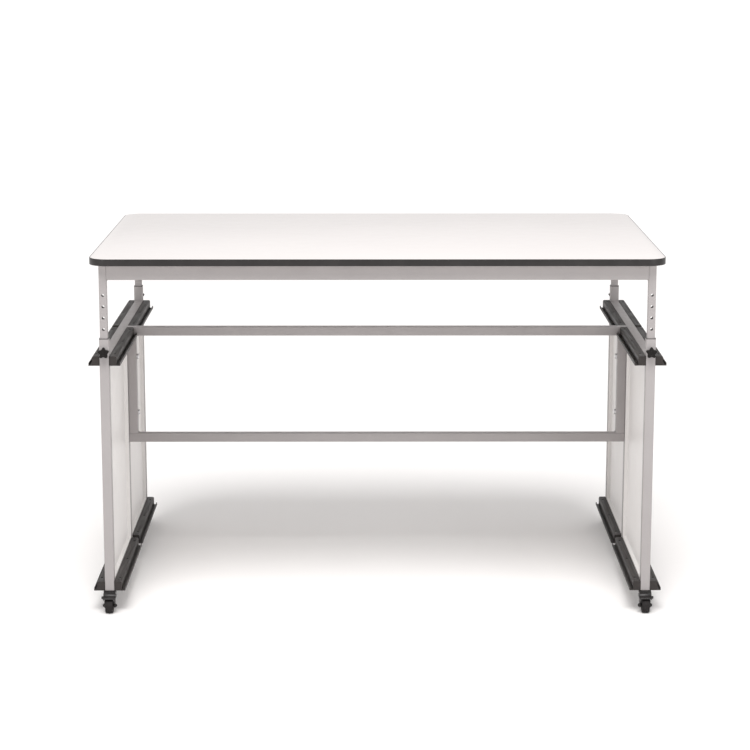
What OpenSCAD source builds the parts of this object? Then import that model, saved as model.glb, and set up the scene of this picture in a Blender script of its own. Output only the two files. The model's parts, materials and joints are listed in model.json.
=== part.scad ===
// Height-adjustable drafting table on castors, with tray runners along its sides.
// Millimetres, +Z up, front towards -Y, left towards -X.
// Origin: on the floor, below the middle of the worktop.
// The worktop stands at its highest setting and slides down inside the legs.

/* [Worktop] */
// Width of the worktop, side to side
top_w = 1500; // [1200:10:1800]
// Depth of the worktop, front to back
top_d = 950; // [780:10:1140]
// Thickness of the worktop with its laminate
top_t = 18; // [15:1:30]
// Thickness of the white laminate sheet
laminate_t = 0.8; // [0.5:0.1:1.5]
// Thickness of the black edge band
band_t = 2; // [1:0.5:4]
// Radius of the worktop's corners
corner_r = 50; // [30:1:70]
// How far the worktop stands out over the frame on every side
overhang = 23; // [18:1:60]

/* [Frame] */
// Outside size of the square tube of legs, beams and bars
tube = 25; // [21:1:30]
// Wall thickness of every tube
wall = 1.5; // [1.2:0.1:2]
// Outside radius of the tube corners
tube_r = 2; // [1.6:0.1:3]
// Height of the outer legs' top above the floor
leg_h = 741; // [615:1:890]
// How far the outer legs rise above the upper beams
leg_rise = 45; // [36:1:60]
// Height of the lower crossbar's underside above the floor
low_bar_z = 365; // [200:5:420]
// Height of the apron rails under the worktop
apron_h = 40; // [30:1:60]

/* [Height setting] */
// Distance between two height holes
pitch = 30; // [25:1:36]
// Number of steps that the worktop goes down
steps = 5; // [3:1:6]
// Diameter of the height holes
peg_hole_d = 7.5; // [6.5:0.5:9]
// Height of the clamping knobs above the upper beams
knob_rise = 11; // [9:1:16]
// Length of inner leg inside the outer leg at the highest setting
engage = 181; // [120:1:200]
// Room left between apron and outer leg at the lowest setting
low_room = 4.5; // [4:0.5:20]

/* [Knobs] */
// Diameter over the knob's lobes
knob_d = 30; // [24:1:36]
// Thickness of the knob's star
knob_t = 11; // [8:1:14]
// Diameter of the clamping stud
stud_d = 6; // [5:1:8]
// Diameter of the threaded boss welded to each leg
boss_d = 14; // [12:1:18]
// Length of the threaded boss
boss_h = 5; // [4:1:8]

/* [Tray runners] */
// Width of a runner's flat top, from the beam's face
flat_w = 20; // [16:1:24]
// Width of a runner over its lip
runner_w = 29; // [27:1:36]
// Height of the upturned lip
lip_h = 7.5; // [5:0.5:12]
// Wall thickness of the runners
skin = 2; // [1.5:0.1:2.5]
// Radius along the outer top edge
edge_r = 4.5; // [3:0.5:6]
// Distance of the runner screws from the beam's face
screw_s = 12; // [9:1:13]

/* [Side panels] */
// Thickness of the side panels
panel_t = 2; // [1.5:0.5:3]
// How far the panels lie behind the tubes' outer faces
panel_inset = 12; // [6:0.5:14]
// Room between a panel's edges and the tubes
panel_room = 1; // [0.5:0.5:3]

/* [Castors] */
// Diameter of the castor wheels
wheel_d = 40; // [34:1:50]
// Width of the castor wheels
wheel_w = 20; // [17:1:22]
// Distance from the swivel axis forward to the wheel's axle
trail = 16; // [13:1:19]
// Room between wheel and cheek, on either side of a wheel in the fork's middle
cheek_room = 2; // [1.5:0.5:3]
// How far the wheel sits outwards of the fork's middle
wheel_off = 1; // [0:0.25:1.25]
// Thickness of the fork's cheeks
cheek_t = 2.5; // [2:0.5:4]
// Diameter of the wheel's axle
axle_d = 6; // [5:1:8]
// Diameter of the swivel stem
stem_d = 8; // [7:1:10]

/* [Clearances] */
// Gap on each side between inner and outer leg
leg_gap = 1; // [0.8:0.1:1.5]
// Sliding clearance on each side in the leg guides
slide_gap = 0.25; // [0.2:0.05:0.4]
// Radial clearance of every turning fit
run_gap = 0.05; // [0.03:0.01:0.1]
// Clearance on each side of a plug in its tube
plug_gap = 0.1; // [0.05:0.05:0.3]
// Radial clearance of the bolts in their holes
bolt_gap = 0.25; // [0.1:0.05:0.5]
// End clearance between parts that turn past each other
face_gap = 0.3; // [0.2:0.1:0.6]

/* [Hidden] */
$fn = 48;
// How far a cutting shape passes the face it cuts
cut = 1;

// Frame outline and leg centres
frame_w = top_w - 2 * overhang;
frame_d = top_d - 2 * overhang;
bore_r = max(tube_r - wall, 0.3);  // inside radius of the tubes' corners
leg_x = (frame_w - tube) / 2;
leg_y = (frame_d - tube) / 2;

// Heights
head_h = 20;                       // room above the wheel for fork head and socket flange
castor_h = wheel_d + head_h;       // underside of the outer legs
beam_top = leg_h - leg_rise;
knob_z = beam_top + knob_rise;
flange_t = 1.5;                    // flange of the plastic leg plugs and guides
travel = pitch * steps;
apron_z = leg_h + flange_t + low_room + travel;
board_z = apron_z + apron_h;
table_h = board_z + top_t;

// Inner legs
leg_in = tube - 2 * wall - 2 * leg_gap;
leg_in_z = leg_h - engage;
guide_l = 12;                      // length of the guide sleeve inside the outer leg
glide_l = 15;                      // length of the glide plug in the inner leg

// Side frames
bay_z = castor_h + tube;           // top of the lower beams
bay_h = beam_top - tube - bay_z;
bay_d = leg_y - tube;              // from the mid post to a leg
bolt_zs = [beam_top - 86, beam_top - 246];
bolt_d = 8;
bolt_af = 13;
bolt_head = 5.3;
nut_h = 6.5;

// Side panels and what holds them
panel_x = frame_w / 2 - panel_inset - panel_t;
tab_w = 14;
tab_l = 16;
tab_t = 2;
rivet_d = 4;
rivet_head_d = 8;
rivet_head_t = 1.2;
tab_end = 60;                      // from a panel's end to its outer tabs
fold_w = tube - panel_inset - 1;   // a panel's folded edges end 1 mm behind the tubes' inner faces

// Runners: each side is two halves that leave room for the crossbar
bar_room = 0.5;
half_l = (frame_d - tube) / 2 - bar_room;
screw_near = 50;                   // screws from mid-depth and from the runner's end
screw_end = 37;
screw_far = frame_d / 2 - screw_end;
screw_ys = [screw_near, (screw_near + screw_far) / 2, screw_far];
screw_d = 4;
screw_head_d = 7;
screw_head_t = 1.6;
screw_l = 9;
bracket_w = 20;
bracket_s = flat_w - edge_r;       // how far a runner bracket reaches out from the beam
bracket_t = 2;
recess_af = 2.5;                   // hexagon recess in screw heads
recess_t = 0.9;

// Knobs
lobes = 5;
lobe_r = 3.9;
collar_h = 2;
stud_in_knob = 8;

// Worktop fixings
angle_l = 28;                      // legs of the angle brackets
angle_w = 24;
angle_t = 2;
wood_screw_l = 13;
angle_x = top_w / 3;
angle_y = top_d / 4;

// Castors, in the frame of one leg: swivel axis at the origin
wheel_r = wheel_d / 2;
hub_side = 0.5;                    // how far the hub stands out beside the tyre
cheek_in = wheel_w / 2 + cheek_room;   // inner face of the cheeks
cheek_out = cheek_in + cheek_t;
fork_z0 = castor_h - 10;           // underside of the fork's head
fork_z1 = castor_h - flange_t - face_gap;
head_front = trail + 2.5;          // fork head, from the swivel axis forwards
head_back = 12;
head_r = 3;                        // radius of the head's upright edges
web_y = 6.8;                       // web between the cheeks, behind the stem
web_t = 1.9;
web_h = 10;
cheek_r = 11;
cheek_z = castor_h - 13;           // centre of the cheek's upper round
eye_r = 7;                         // round of the cheek about the axle
nut_d = 10;
nut_out = 5;
pivot_y = 2;
pivot_z = castor_h - 17;
pin_d = 4;
ear_in = cheek_out + face_gap;
ear_t = 1.4;
ear_out = ear_in + ear_t;
shoe_gap = 6.5;                      // room between released brake and tyre
shoe_t = 2.5;
shoe_a0 = 88;                      // the brake's arc about the axle, from +Y towards the front
shoe_a1 = 130;
skirt_h = 5;                       // how far the ears reach inwards from the arc
bump_d = 7.5;
bump_h = 4.8;
bump_a = 110;                      // the thumb stop's place along the arc
plug_l = 20;                       // length of the castor plug inside the leg
stem_head_r = 6;
stem_head_t = 3;
stem_z = fork_z0 - face_gap;       // top of the stem's head, which carries the fork

// ---- colours

module coated() { color([0.75, 0.74, 0.73]) children(); }
module plastic() { color([0.16, 0.16, 0.17]) children(); }
module steel() { color([0.62, 0.62, 0.63]) children(); }
module white() { color([0.95, 0.95, 0.94]) children(); }

// ---- placing

// The children are drawn for the front left leg and mirrored to the leg at signs sx, sy
module at_leg(sx, sy) {
    translate([sx * leg_x, sy * leg_y, 0])
        mirror([sx > 0 ? 1 : 0, 0, 0])
            mirror([0, sy > 0 ? 1 : 0, 0])
                children();
}

module at_legs() {
    for (sx = [-1, 1], sy = [-1, 1]) at_leg(sx, sy) children();
}

// The children are drawn for the left side frame
module at_side(sx) {
    mirror([sx > 0 ? 1 : 0, 0, 0]) children();
}

// ---- general shapes

// A rectangle with rounded corners about its middle
module round_rect(a, b, r) {
    square([a - 2 * r, b], center = true);
    square([a, b - 2 * r], center = true);
    for (x = [-1, 1], y = [-1, 1])
        translate([x * (a / 2 - r), y * (b / 2 - r)]) circle(r);
}

// A rectangular tube standing on z = 0
module tube_up(l, a, b = undef) {
    depth = is_undef(b) ? a : b;
    linear_extrude(l) difference() {
        round_rect(a, depth, tube_r);
        round_rect(a - 2 * wall, depth - 2 * wall, bore_r);
    }
}

// A tube along Y about the origin, with b as its height
module tube_y(l, a, b) {
    rotate([90, 0, 0]) translate([0, 0, -l / 2]) tube_up(l, a, b);
}

// A tube along X about the origin, with b as its height
module tube_x(l, a, b) {
    rotate([0, 0, 90]) tube_y(l, a, b);
}

// A straight hole or rod about the origin, along X or Y
module rod_x(l, d) { rotate([0, 90, 0]) cylinder(h = l, d = d, center = true); }
module rod_y(l, d) { rotate([90, 0, 0]) cylinder(h = l, d = d, center = true); }

// A plate of thickness t in the YZ plane that joins two rounds by their common tangents
module link_plate(p, rp, q, rq, t) {
    d = norm(q - p);
    base = atan2(q[1] - p[1], q[0] - p[0]);
    lean = acos((rp - rq) / d);
    side = [for (s = [1, -1]) [cos(base + s * lean), sin(base + s * lean)]];
    rotate([90, 0, 90]) linear_extrude(t) {
        translate(p) circle(rp);
        translate(q) circle(rq);
        polygon([p + rp * side[0], q + rq * side[0], q + rq * side[1], p + rp * side[1]]);
    }
}

// A ring sector about the origin, from angle a0 to a1
module sector(r0, r1, a0, a1) {
    far = 2 * r1;
    mid = (a0 + a1) / 2;
    intersection() {
        difference() {
            circle(r1);
            circle(r0);
        }
        polygon([[0, 0], for (a = [a0, mid, a1]) far * [cos(a), sin(a)]]);
    }
}

// ---- worktop

module laminate_top() {
    white() translate([0, 0, table_h - laminate_t]) linear_extrude(laminate_t)
        round_rect(top_w - 2 * band_t, top_d - 2 * band_t, corner_r - band_t);
}

module tabletop() {
    white() difference() {
        translate([0, 0, board_z]) linear_extrude(top_t - laminate_t)
            round_rect(top_w - 2 * band_t, top_d - 2 * band_t, corner_r - band_t);
        at_angles() wood_screw();
    }
}

module edge_band() {
    plastic() translate([0, 0, board_z]) linear_extrude(top_t) difference() {
        round_rect(top_w, top_d, corner_r);
        round_rect(top_w - 2 * band_t, top_d - 2 * band_t, corner_r - band_t);
    }
}

// Places of the angle brackets: on the aprons' inner faces, the wall towards +Y
module at_angles() {
    rail_y = leg_y - leg_in / 2;
    rail_x = leg_x - leg_in / 2;
    for (s = [0, 1], x = [-angle_x, 0, angle_x])
        rotate([0, 0, 180 * s]) translate([x, -rail_y, 0]) children();
    for (s = [-1, 1], y = [-angle_y, angle_y])
        rotate([0, 0, 90 * s]) translate([y, -rail_x, 0]) children();
}

// The screw from an angle bracket up into the board
module wood_screw() {
    translate([0, angle_l * 0.6, board_z - angle_t]) {
        cylinder(h = wood_screw_l + angle_t, d = screw_d);
        translate([0, 0, -screw_head_t]) cylinder(h = screw_head_t, d = screw_head_d);
    }
}

// The screw from an angle bracket into the apron
module apron_screw() {
    translate([0, 0, apron_screw_z]) {
        translate([0, angle_t / 2 - wall / 2, 0]) rod_y(angle_t + wall, screw_d);
        translate([0, angle_t + screw_head_t / 2, 0]) rod_y(screw_head_t, screw_head_d);
    }
}
apron_screw_z = board_z - angle_l * 0.6;

module top_screws() {
    steel() at_angles() {
        wood_screw();
        apron_screw();
    }
}

module top_brackets() {
    coated() at_angles() difference() {
        union() {
            translate([-angle_w / 2, 0, board_z - angle_l]) cube([angle_w, angle_t, angle_l]);
            translate([-angle_w / 2, 0, board_z - angle_t]) cube([angle_w, angle_l, angle_t]);
        }
        wood_screw();
        apron_screw();
    }
}

// An apron along X, at the side sy
module apron_long(sy) {
    coated() difference() {
        translate([0, sy * leg_y, apron_z + apron_h / 2])
            tube_x(2 * leg_x - leg_in, leg_in, apron_h);
        at_angles() apron_screw();
    }
}

// An apron along Y, at the side sx
module apron_short(sx) {
    coated() difference() {
        translate([sx * leg_x, 0, apron_z + apron_h / 2])
            tube_y(2 * leg_y - leg_in, leg_in, apron_h);
        at_angles() apron_screw();
    }
}

module inner_leg(sx, sy) {
    coated() at_leg(sx, sy) difference() {
        translate([0, 0, leg_in_z]) tube_up(board_z - leg_in_z, leg_in);
        for (k = [0 : steps])
            translate([0, 0, knob_z + k * pitch]) rod_y(leg_in + 2 * cut, peg_hole_d);
    }
}

// A plastic plug under each inner leg, which slides in the outer leg
module leg_glides() {
    bore = tube - 2 * wall;
    plug = leg_in - 2 * wall - 2 * plug_gap;
    plastic() at_legs() translate([0, 0, leg_in_z]) {
        translate([0, 0, -flange_t]) linear_extrude(flange_t)
            round_rect(bore - 2 * slide_gap, bore - 2 * slide_gap, cut);
        linear_extrude(glide_l) round_rect(plug, plug, cut);
    }
}

// ---- outer legs and side frames

// An outer leg with the round threaded boss for the clamping stud welded to its face
module outer_leg(sx, sy) {
    coated() at_leg(sx, sy) difference() {
        union() {
            translate([0, 0, castor_h]) tube_up(leg_h - castor_h, tube);
            translate([0, -(tube + boss_h) / 2, knob_z]) rod_y(boss_h, boss_d);
        }
        translate([0, -(tube + boss_h) / 2, knob_z])
            rod_y(boss_h + 2 * (wall + cut), stud_d + 2 * run_gap);
    }
}

// A plastic collar in the top of each outer leg, in which the inner leg slides
module leg_guides() {
    hole = leg_in + 2 * slide_gap;
    sleeve = tube - 2 * wall;
    plastic() at_legs() translate([0, 0, leg_h]) difference() {
        union() {
            linear_extrude(flange_t) round_rect(tube, tube, tube_r);
            translate([0, 0, -guide_l]) linear_extrude(guide_l) round_rect(sleeve, sleeve, bore_r);
        }
        translate([0, 0, -guide_l - cut]) linear_extrude(guide_l + flange_t + 2 * cut)
            round_rect(hole, hole, tube_r);
    }
}

// A beam between front and rear leg, with its underside at z
module side_beam(sx, z) {
    coated() translate([sx * leg_x, 0, z + tube / 2]) tube_y(2 * leg_y - tube, tube, tube);
}

module mid_post(sx) {
    coated() difference() {
        translate([sx * leg_x, 0, bay_z]) tube_up(bay_h, tube);
        bolt_holes(sx);
    }
}

// A post between the crossbars' ends, bolted to the mid post
module crossbar_post(sx) {
    low_top = low_bar_z + tube;
    coated() difference() {
        translate([sx * (leg_x - tube), 0, low_top]) tube_up(beam_top - tube - low_top, tube);
        bolt_holes(sx);
    }
}

module crossbar(z) {
    coated() translate([0, 0, z + tube / 2]) tube_x(2 * leg_x - tube, tube, tube);
}

module bolt_holes(sx) {
    for (z = bolt_zs)
        translate([sx * (leg_x - tube / 2), 0, z]) rod_x(2 * tube + 2 * cut, bolt_d + 2 * bolt_gap);
}

// Bolts with nuts through crossbar post and mid post
module frame_bolts() {
    steel() for (sx = [-1, 1], z = bolt_zs) at_side(sx) translate([-leg_x + tube / 2, 0, z]) {
        rod_x(2 * tube, bolt_d);
        translate([tube + bolt_head / 2, 0, 0]) rod_hex(bolt_head);
        translate([-tube - nut_h / 2, 0, 0]) rod_hex(nut_h);
    }
}

module rod_hex(l) {
    rotate([0, 90, 0]) cylinder(h = l, d = bolt_af / cos(30), center = true, $fn = 6);
}

// ---- side panels

// The panels in the two bays of one side frame
module side_panels(sx) {
    white() for (sy = [-1, 1]) at_bay(sx, sy) difference() {
        translate([-panel_x - panel_t, panel_room, panel_room])
            folded_sheet(bay_d - 2 * panel_room, bay_h - 2 * panel_room);
        at_tabs() rivet();
    }
}

// A sheet with all four edges folded inwards, with its outer face at x = 0
module folded_sheet(w, h) {
    difference() {
        cube([fold_w, w, h]);
        translate([panel_t, panel_t, panel_t])
            cube([fold_w, w - 2 * panel_t, h - 2 * panel_t]);
    }
}

// The children are drawn for a bay on the left that runs from a leg at y = 0 to the mid post
module at_bay(sx, sy) {
    at_side(sx) mirror([0, sy > 0 ? 1 : 0, 0])
        translate([0, -leg_y + tube / 2, bay_z]) children();
}

// Tab places on a panel's outer face, with +X outwards
module at_tabs() {
    for (y = [0, bay_d], z = [tab_end, bay_h / 2, bay_h - tab_end])
        translate([-panel_x - panel_t, y, z])
            mirror([1, 0, 0]) mirror([0, y > 0 ? 1 : 0, 0]) children();
}

// A rivet through a tab on x > 0 and the panel behind it
module rivet() {
    translate([0, tab_w * 0.6, 0]) {
        translate([(tab_t - panel_t) / 2, 0, 0]) rod_x(tab_t + panel_t, rivet_d);
        translate([tab_t + rivet_head_t / 2, 0, 0]) rod_x(rivet_head_t, rivet_head_d);
        translate([-panel_t - rivet_head_t / 2, 0, 0]) rod_x(rivet_head_t, rivet_head_d);
    }
}

// Every small plate that is welded to the side frames
module welded_tabs() {
    panel_tabs();
    runner_brackets();
}

module panel_tabs() {
    coated() for (sx = [-1, 1], sy = [-1, 1]) at_bay(sx, sy) at_tabs() difference() {
        translate([0, 0, -tab_l / 2]) cube([tab_t, tab_w, tab_l]);
        rivet();
    }
}

module panel_rivets() {
    steel() for (sx = [-1, 1], sy = [-1, 1]) at_bay(sx, sy) at_tabs() rivet();
}

// ---- tray runners

// A box outline from the beam's face out, with its outer top edge rounded
module rounded_top(w, h, r) {
    square([w - r, h]);
    square([w, h - r]);
    translate([w - r, h - r]) circle(r);
}

// Ledge and upturned lip of a runner
module ledge() {
    translate([flat_w - skin, 0]) square([runner_w - flat_w + skin, skin]);
    translate([runner_w - skin, 0]) square([skin, lip_h]);
}

module runner_outline() {
    rounded_top(flat_w, tube, edge_r);
    ledge();
}

module runner_section() {
    difference() {
        rounded_top(flat_w, tube, edge_r);
        translate([-cut, -cut]) rounded_top(flat_w - skin + cut, tube - skin + cut, edge_r - skin);
    }
    ledge();
}

// The front half of one runner beside a beam face at x = 0, from its front end at y = 0
module runner_half() {
    rotate([90, 0, 180]) mirror([1, 0, 0]) {
        linear_extrude(half_l) runner_section();
        linear_extrude(skin) runner_outline();
        translate([0, 0, half_l - skin]) linear_extrude(skin) runner_outline();
    }
}

// Runner places on one side: the beam's inner and outer face, front and rear half
module at_runners(sx, z) {
    for (face = [-1, 1], sy = [-1, 1])
        translate([sx * leg_x + face * tube / 2, sy * frame_d / 2, z])
            mirror([face < 0 ? 1 : 0, 0, 0]) mirror([0, sy > 0 ? 1 : 0, 0]) children();
}

// Screw places along one runner half
module at_runner_screws() {
    for (y = screw_ys) translate([screw_s, frame_d / 2 - y, 0]) children();
}

// A countersunk screw through a runner's flat top
module runner_screw() {
    translate([0, 0, tube - screw_l]) cylinder(h = screw_l - screw_head_t, d = screw_d);
    translate([0, 0, tube - screw_head_t]) cylinder(h = screw_head_t, d1 = screw_d, d2 = screw_head_d);
}

module runners(sx, z) {
    plastic() at_runners(sx, z) difference() {
        runner_half();
        at_runner_screws() runner_screw();
    }
}

module runner_screws() {
    plastic() for (sx = [-1, 1], z = [castor_h, beam_top - tube])
        at_runners(sx, z) at_runner_screws() difference() {
            runner_screw();
            translate([0, 0, tube - recess_t])
                cylinder(h = recess_t + cut, d = recess_af / cos(30), $fn = 6);
        }
}

// Plates welded to the beams, which carry the runners
module runner_brackets() {
    coated() for (sx = [-1, 1], z = [castor_h, beam_top - tube])
        at_runners(sx, z) at_runner_screws() difference() {
            translate([-screw_s, -bracket_w / 2, tube - skin - bracket_t])
                cube([bracket_s, bracket_w, bracket_t]);
            runner_screw();
        }
}

// ---- knobs

module knob(sx, sy) {
    seat = tube / 2 + boss_h + face_gap;
    tip = leg_in / 2 + face_gap;
    lobe_at = knob_d / 2 - lobe_r;
    at_leg(sx, sy) translate([0, 0, knob_z]) rotate([90, 0, 0]) {
        plastic() difference() {
            union() {
                translate([0, 0, seat]) cylinder(h = collar_h, d = boss_d);
                translate([0, 0, seat + collar_h]) linear_extrude(knob_t) {
                    circle(lobe_at - 1);
                    for (k = [0 : lobes - 1]) rotate(90 + k * 360 / lobes) {
                        translate([lobe_at, 0]) circle(lobe_r);
                        translate([0, -lobe_r]) square([lobe_at, 2 * lobe_r]);
                    }
                }
            }
            translate([0, 0, seat - cut]) cylinder(h = stud_in_knob + cut, d = stud_d);
        }
        steel() translate([0, 0, tip]) cylinder(h = seat + stud_in_knob - tip, d = stud_d);
    }
}

// ---- castors

// Plastic plugs in the outer legs' feet, each with the steel stem on which a castor swivels
module castor_sockets() {
    plug = tube - 2 * wall - 2 * plug_gap;
    at_legs() {
        plastic() difference() {
            union() {
                translate([0, 0, castor_h - flange_t]) linear_extrude(flange_t)
                    round_rect(tube, tube, tube_r);
                translate([0, 0, castor_h]) linear_extrude(plug_l) round_rect(plug, plug, cut);
            }
            translate([0, 0, castor_h - flange_t - cut])
                cylinder(h = plug_l + flange_t, d = stem_d);
        }
        steel() translate([0, 0, stem_z]) {
            cylinder(h = castor_h + plug_l - cut - stem_z, d = stem_d);
            translate([0, 0, -stem_head_t]) cylinder(h = stem_head_t, r = stem_head_r);
        }
    }
}

module castor_fork(sx, sy) {
    boss_in = wheel_w / 2 + hub_side - wheel_off + face_gap;
    plastic() at_leg(sx, sy) {
        difference() {
            union() {
                translate([0, (head_back - head_front) / 2, fork_z0])
                    linear_extrude(fork_z1 - fork_z0)
                        round_rect(2 * ear_out, head_front + head_back, head_r);
                for (s = [-1, 1])
                    translate([s < 0 ? -cheek_out : cheek_in, 0, 0])
                        link_plate([0, cheek_z], cheek_r, [-trail, wheel_r], eye_r, cheek_t);
                translate([-cheek_in, web_y, fork_z0 - web_h]) cube([2 * cheek_in, web_t, web_h]);
                // Boss about the axle, up to the hub on the wide side
                translate([(boss_in + cheek_in) / 2, -trail, wheel_r])
                    rod_x(cheek_in - boss_in, nut_d);
            }
            translate([0, 0, fork_z0 - cut])
                cylinder(h = fork_z1 - fork_z0 + 2 * cut, d = stem_d + 2 * run_gap);
            translate([0, -trail, wheel_r]) rod_x(2 * cheek_out + 2 * cut, axle_d);
            translate([0, pivot_y, pivot_z]) rod_x(2 * cheek_out + 2 * cut, pin_d + 2 * run_gap);
        }
    }
}

// Axle bolt with its round head and nut
module castor_axle(sx, sy) {
    steel() at_leg(sx, sy) translate([0, -trail, wheel_r]) {
        rod_x(2 * cheek_out, axle_d);
        for (s = [-1, 1]) translate([s * (cheek_out + nut_out / 2), 0, 0]) rod_x(nut_out, nut_d);
    }
}

// Half outline of the wheel: radius along x, width along y
module wheel_half() {
    tread_r = 3;
    rim = 5;
    web = 6;
    hub_r = axle_d / 2 + 3.5;
    half = wheel_w / 2;
    translate([wheel_r - rim, 0]) rounded_top(rim, half, tread_r);
    square([wheel_r - rim, web / 2]);
    square([hub_r, half + hub_side]);
}

module castor_wheel(sx, sy) {
    plastic() at_leg(sx, sy) translate([-wheel_off, -trail, wheel_r]) rotate([0, 90, 0])
        rotate_extrude() intersection() {
            union() {
                wheel_half();
                mirror([0, 1]) wheel_half();
            }
            translate([axle_d / 2 + run_gap, -wheel_w]) square([wheel_r, 2 * wheel_w]);
        }
}

module castor_brake(sx, sy) {
    r0 = wheel_r + shoe_gap;
    r1 = r0 + shoe_t;
    arm_a = (shoe_a0 + shoe_a1) / 2;
    arm_r = skirt_h / 2 + 1;
    arm_q = [-trail, wheel_r] + (r1 - arm_r) * [cos(arm_a), sin(arm_a)];
    bump_q = [-trail, wheel_r] + (r1 - bump_d / 2) * [cos(bump_a), sin(bump_a)];
    plastic() at_leg(sx, sy) {
        // Curved pedal over the wheel
        translate([-ear_out, -trail, wheel_r]) rotate([90, 0, 90])
            linear_extrude(2 * ear_out) sector(r0, r1, shoe_a0, shoe_a1);
        for (s = [-1, 1]) {
            x0 = s < 0 ? -ear_out : ear_in;
            // Side skirt and arm back to the pivot
            translate([x0, -trail, wheel_r]) rotate([90, 0, 90])
                linear_extrude(ear_t) sector(r0 - skirt_h, r1, shoe_a0, shoe_a1);
            translate([x0, 0, 0]) link_plate([pivot_y, pivot_z], pin_d, arm_q, arm_r, ear_t);
            // Pivot pin in the fork's cheek
            translate([s * (cheek_in + ear_out) / 2, pivot_y, pivot_z]) rod_x(ear_out - cheek_in, pin_d);
        }
        // Thumb stop on the outer side
        translate([-ear_out - bump_h / 2, bump_q[0], bump_q[1]]) rod_x(bump_h, bump_d);
    }
}

// ---- nodes

laminate_top();
tabletop();
edge_band();
apron_long(-1);  // apron_front
apron_long(1);  // apron_rear
apron_short(-1);  // apron_left
apron_short(1);  // apron_right
inner_leg(-1, -1);  // inner_leg_front_left
inner_leg(1, -1);  // inner_leg_front_right
inner_leg(-1, 1);  // inner_leg_rear_left
inner_leg(1, 1);  // inner_leg_rear_right
leg_glides();
top_brackets();
top_screws();
outer_leg(-1, -1);  // outer_leg_front_left
outer_leg(1, -1);  // outer_leg_front_right
outer_leg(-1, 1);  // outer_leg_rear_left
outer_leg(1, 1);  // outer_leg_rear_right
leg_guides();
side_beam(-1, beam_top - tube);  // upper_beam_left
side_beam(1, beam_top - tube);  // upper_beam_right
side_beam(-1, castor_h);  // lower_beam_left
side_beam(1, castor_h);  // lower_beam_right
mid_post(-1);  // mid_post_left
mid_post(1);  // mid_post_right
side_panels(-1);  // side_panels_left
side_panels(1);  // side_panels_right
welded_tabs();
panel_rivets();
crossbar(beam_top - tube);  // crossbar_upper
crossbar(low_bar_z);  // crossbar_lower
crossbar_post(-1);  // crossbar_post_left
crossbar_post(1);  // crossbar_post_right
frame_bolts();
runners(-1, beam_top - tube);  // upper_runners_left
runners(1, beam_top - tube);  // upper_runners_right
runners(-1, castor_h);  // lower_runners_left
runners(1, castor_h);  // lower_runners_right
runner_screws();
castor_sockets();
knob(-1, -1);  // knob_front_left
knob(1, -1);  // knob_front_right
knob(-1, 1);  // knob_rear_left
knob(1, 1);  // knob_rear_right
castor_fork(-1, -1);  // castor_fork_front_left
castor_fork(1, -1);  // castor_fork_front_right
castor_fork(-1, 1);  // castor_fork_rear_left
castor_fork(1, 1);  // castor_fork_rear_right
castor_axle(-1, -1);  // castor_axle_front_left
castor_axle(1, -1);  // castor_axle_front_right
castor_axle(-1, 1);  // castor_axle_rear_left
castor_axle(1, 1);  // castor_axle_rear_right
castor_wheel(-1, -1);  // castor_wheel_front_left
castor_wheel(1, -1);  // castor_wheel_front_right
castor_wheel(-1, 1);  // castor_wheel_rear_left
castor_wheel(1, 1);  // castor_wheel_rear_right
castor_brake(-1, -1);  // castor_brake_front_left
castor_brake(1, -1);  // castor_brake_front_right
castor_brake(-1, 1);  // castor_brake_rear_left
castor_brake(1, 1);  // castor_brake_rear_right
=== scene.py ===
"""Looks of a height-adjustable drafting table: shells, finishes, floor, lights and camera."""

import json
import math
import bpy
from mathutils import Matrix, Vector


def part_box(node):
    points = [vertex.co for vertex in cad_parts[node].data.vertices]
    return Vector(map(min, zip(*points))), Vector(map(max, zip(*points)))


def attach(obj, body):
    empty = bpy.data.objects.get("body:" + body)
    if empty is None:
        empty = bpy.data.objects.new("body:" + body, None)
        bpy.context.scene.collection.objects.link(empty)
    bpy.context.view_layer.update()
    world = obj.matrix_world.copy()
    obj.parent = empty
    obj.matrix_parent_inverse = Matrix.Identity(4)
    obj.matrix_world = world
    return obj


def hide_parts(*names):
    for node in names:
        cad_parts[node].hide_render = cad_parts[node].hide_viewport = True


bl_info = {
    "name": "Drafting Table Builder",
    "version": (1, 0, 0),
    "blender": (4, 5, 0),
    "location": "View3D > Sidebar > Drafting Table",
    "description": "Builds the visible shells and finishes of a height-adjustable drafting table",
    "category": "Object",
}

import bmesh
import bpy
import numpy as np
from bpy.props import FloatProperty, FloatVectorProperty, PointerProperty
from mathutils import Vector

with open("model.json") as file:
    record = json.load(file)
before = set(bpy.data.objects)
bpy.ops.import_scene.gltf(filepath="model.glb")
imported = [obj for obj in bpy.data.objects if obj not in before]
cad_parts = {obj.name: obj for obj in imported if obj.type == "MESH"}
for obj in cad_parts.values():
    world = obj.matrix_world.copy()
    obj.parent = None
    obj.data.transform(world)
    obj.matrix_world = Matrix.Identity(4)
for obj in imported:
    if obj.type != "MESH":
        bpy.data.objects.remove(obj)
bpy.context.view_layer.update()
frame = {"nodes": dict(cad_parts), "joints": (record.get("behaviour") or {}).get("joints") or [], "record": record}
NODES = frame["nodes"]
BODY_OF = {n: b for b, ns in frame["record"]["behaviour"]["bodies"].items() for n in ns}
JOINTS = {j["name"]: j for j in frame["joints"]}
CORNERS = {
    "front_left": (-1, -1),
    "front_right": (1, -1),
    "rear_left": (-1, 1),
    "rear_right": (1, 1),
}
SIDES = {"left": -1, "right": 1}
MM = 0.001
TAU = 2 * math.pi


# ---- sizes and colours that a user would change


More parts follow.
